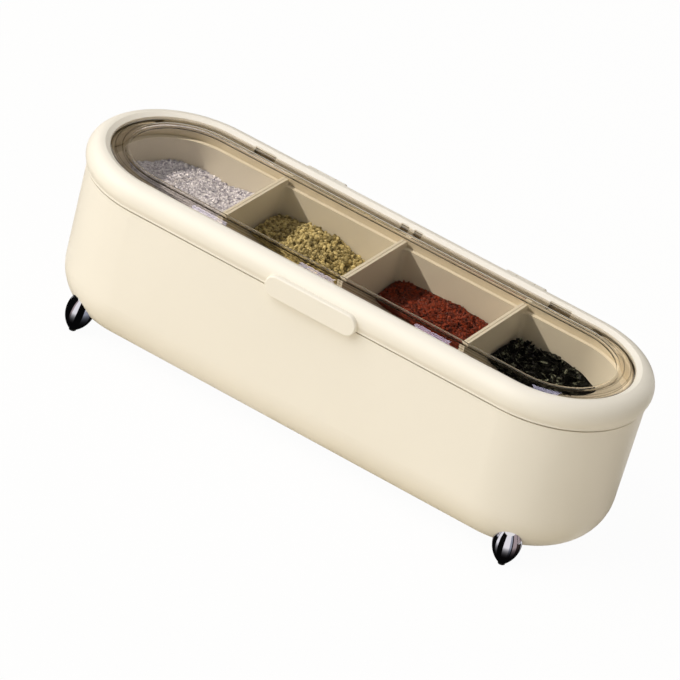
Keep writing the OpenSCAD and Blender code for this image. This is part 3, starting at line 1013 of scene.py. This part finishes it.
def surround(scene, studio):
    """The world: light from all round, and a warm white where it is seen itself.

    The light of a direction rises evenly with how far it leans to the brightest one.
    """
    world = bpy.data.worlds.new("studio_world")
    world.use_nodes = True
    tree = world.node_tree
    tree.nodes.clear()
    out = add(tree, "ShaderNodeOutputWorld")
    way = add(tree, "ShaderNodeTexCoord").outputs["Generated"]
    facing = add(tree, "ShaderNodeVectorMath", {0: way}, {"operation": "DOT_PRODUCT"})
    facing.inputs[1].default_value = BRIGHTEST_WAY
    lit = add(
        tree,
        "ShaderNodeMapRange",
        {"Value": facing.outputs["Value"]},
        From_Min=-1,
        To_Min=studio.ambient * DIMMEST,
        To_Max=studio.ambient * BRIGHTEST,
    )
    level = add(
        tree,
        "ShaderNodeMapRange",
        {"Value": plainly_seen(tree), "To Min": lit.outputs["Result"]},
        To_Max=1.0,
    )
    strength = {"Strength": level.outputs["Result"]}
    sky = add(tree, "ShaderNodeBackground", strength, Color=(1, 0.982, 0.945, 1))
    tree.links.new(sky.outputs["Background"], out.inputs["Surface"])
    scene.world = world


def hang_lamps(scene, studio):
    """Hangs the soft lamp and the box lamp, and links each to its own pieces."""
    reach = 3.0
    # Soft lamp: a large panel at the front left, a little cool. A small lamp of its energy
    # would light a white card that faces it to the value of the soft lamp's strength
    lamp = bpy.data.lights.new("soft_lamp", "AREA")
    lamp.shape = "SQUARE"
    lamp.size = 3.2
    lamp.energy = studio.soft * math.pi * math.pi * reach**2
    lamp.color = (0.975, 0.982, 1)
    soft = hang(scene, lamp, studio.soft_side, studio.soft_height, reach)

    # Box lamp: narrow, far and a little warm, for the crisp shadows in the boxes alone
    lamp = bpy.data.lights.new("box_lamp", "SUN")
    lamp.energy = studio.spot
    lamp.angle = studio.spot_spread
    lamp.color = (1, 0.97, 0.93)
    narrow = hang(scene, lamp, studio.spot_side, studio.spot_height, reach)
    within = bpy.data.collections.new("lit_by_box_lamp")
    outside = bpy.data.collections.new("lit_by_soft_lamp")
    for o in bpy.data.objects:
        if o.type == "MESH":
            if o.name.startswith(IN_THE_BOXES):
                within.objects.link(o)
            elif not o.name.startswith(NO_GLINT):
                outside.objects.link(o)
    narrow.light_linking.receiver_collection = within
    soft.light_linking.receiver_collection = outside


def dark_cards():
    """Two matt black cards behind and above, for dark streaks in the window and the chrome.

    Each is given by its middle, the way it faces, its width's direction, width and height.
    """
    black, tree, out = material("studio_card_black")
    dull = add(tree, "ShaderNodeBsdfDiffuse", Color=(0.004, 0.004, 0.004, 1))
    tree.links.new(dull.outputs["BSDF"], out.inputs["Surface"])
    level = (0.9, 0.42, 0)
    card("card_behind", (-0.6, 1.3, 0.85), (0.36, -0.79, -0.5), level, 1.5, 1.1, black)
    card("card_above", (-0.4, 0.75, 1.6), (0.22, -0.42, -0.88), level, 1.8, 1.2, black)


def set_camera(scene, studio):
    """The camera: turned and raised about the point it aims at, then rolled.

    Returns the point that it stands at.
    """
    camera = bpy.data.cameras.new("photo_camera")
    camera.lens = studio.lens
    camera.sensor_fit = "HORIZONTAL"
    camera.sensor_width = 36
    camera.clip_end = 50
    eye = bpy.data.objects.new("photo_camera", camera)
    a, e, r = studio.azimuth, studio.elevation, studio.roll
    back = Vector((math.sin(a) * math.cos(e), -math.cos(a) * math.cos(e), math.sin(e)))
    right = Vector((math.cos(a), math.sin(a), 0))
    up = back.cross(right)
    across = right * math.cos(r) + up * math.sin(r)
    upward = up * math.cos(r) - right * math.sin(r)
    aim = Vector((studio.aim_x, studio.aim_y, studio.aim_z))
    place = Matrix((across, upward, back)).transposed().to_4x4()
    place.translation = aim + back * studio.distance
    eye.matrix_world = place
    scene.collection.objects.link(eye)
    scene.camera = eye
    return place.translation.copy()


class CADDY_OT_studio(bpy.types.Operator):
    """Sets the floor, the lamps, the cards that reflections see, and the camera."""

    bl_idname = "caddy.studio"
    bl_label = "Studio"

    def execute(self, context):
        scene = context.scene
        studio = scene.caddy_studio
        scene.view_settings.view_transform = "Standard"
        lay_floor(studio)
        surround(scene, studio)
        hang_lamps(scene, studio)
        dark_cards()
        floor_streaks(studio)
        bars(studio, set_camera(scene, studio))
        return {"FINISHED"}


STEPS = ("shells", "window", "feet", "salt", "herbs", "chili", "flakes", "studio")


class VIEW3D_PT_caddy(bpy.types.Panel):
    """Lists the caddy's settings and the steps that make it."""

    bl_label = "Condiment caddy"
    bl_space_type = "VIEW_3D"
    bl_region_type = "UI"
    bl_category = "Caddy"

    def draw(self, context):
        for group in ("caddy_colours", "caddy_fillings", "caddy_studio"):
            settings = getattr(context.scene, group)
            box = self.layout.box()
            for name in settings.__annotations__:
                box.prop(settings, name)
        for step in STEPS:
            self.layout.operator("caddy." + step)


CLASSES = (
    CaddyColours,
    CaddyFillings,
    CaddyStudio,
    CADDY_OT_shells,
    CADDY_OT_window,
    CADDY_OT_feet,
    CADDY_OT_salt,
    CADDY_OT_herbs,
    CADDY_OT_chili,
    CADDY_OT_flakes,
    CADDY_OT_studio,
    VIEW3D_PT_caddy,
)


def register():
    for one in CLASSES:
        bpy.utils.register_class(one)
    bpy.types.Scene.caddy_colours = bpy.props.PointerProperty(type=CaddyColours)
    bpy.types.Scene.caddy_fillings = bpy.props.PointerProperty(type=CaddyFillings)
    bpy.types.Scene.caddy_studio = bpy.props.PointerProperty(type=CaddyStudio)


def unregister():
    del bpy.types.Scene.caddy_studio
    del bpy.types.Scene.caddy_fillings
    del bpy.types.Scene.caddy_colours
    for one in reversed(CLASSES):
        bpy.utils.unregister_class(one)


def main():
    register()
    for step in STEPS:
        getattr(bpy.ops.caddy, step)()


if __name__ == "__main__":
    main()
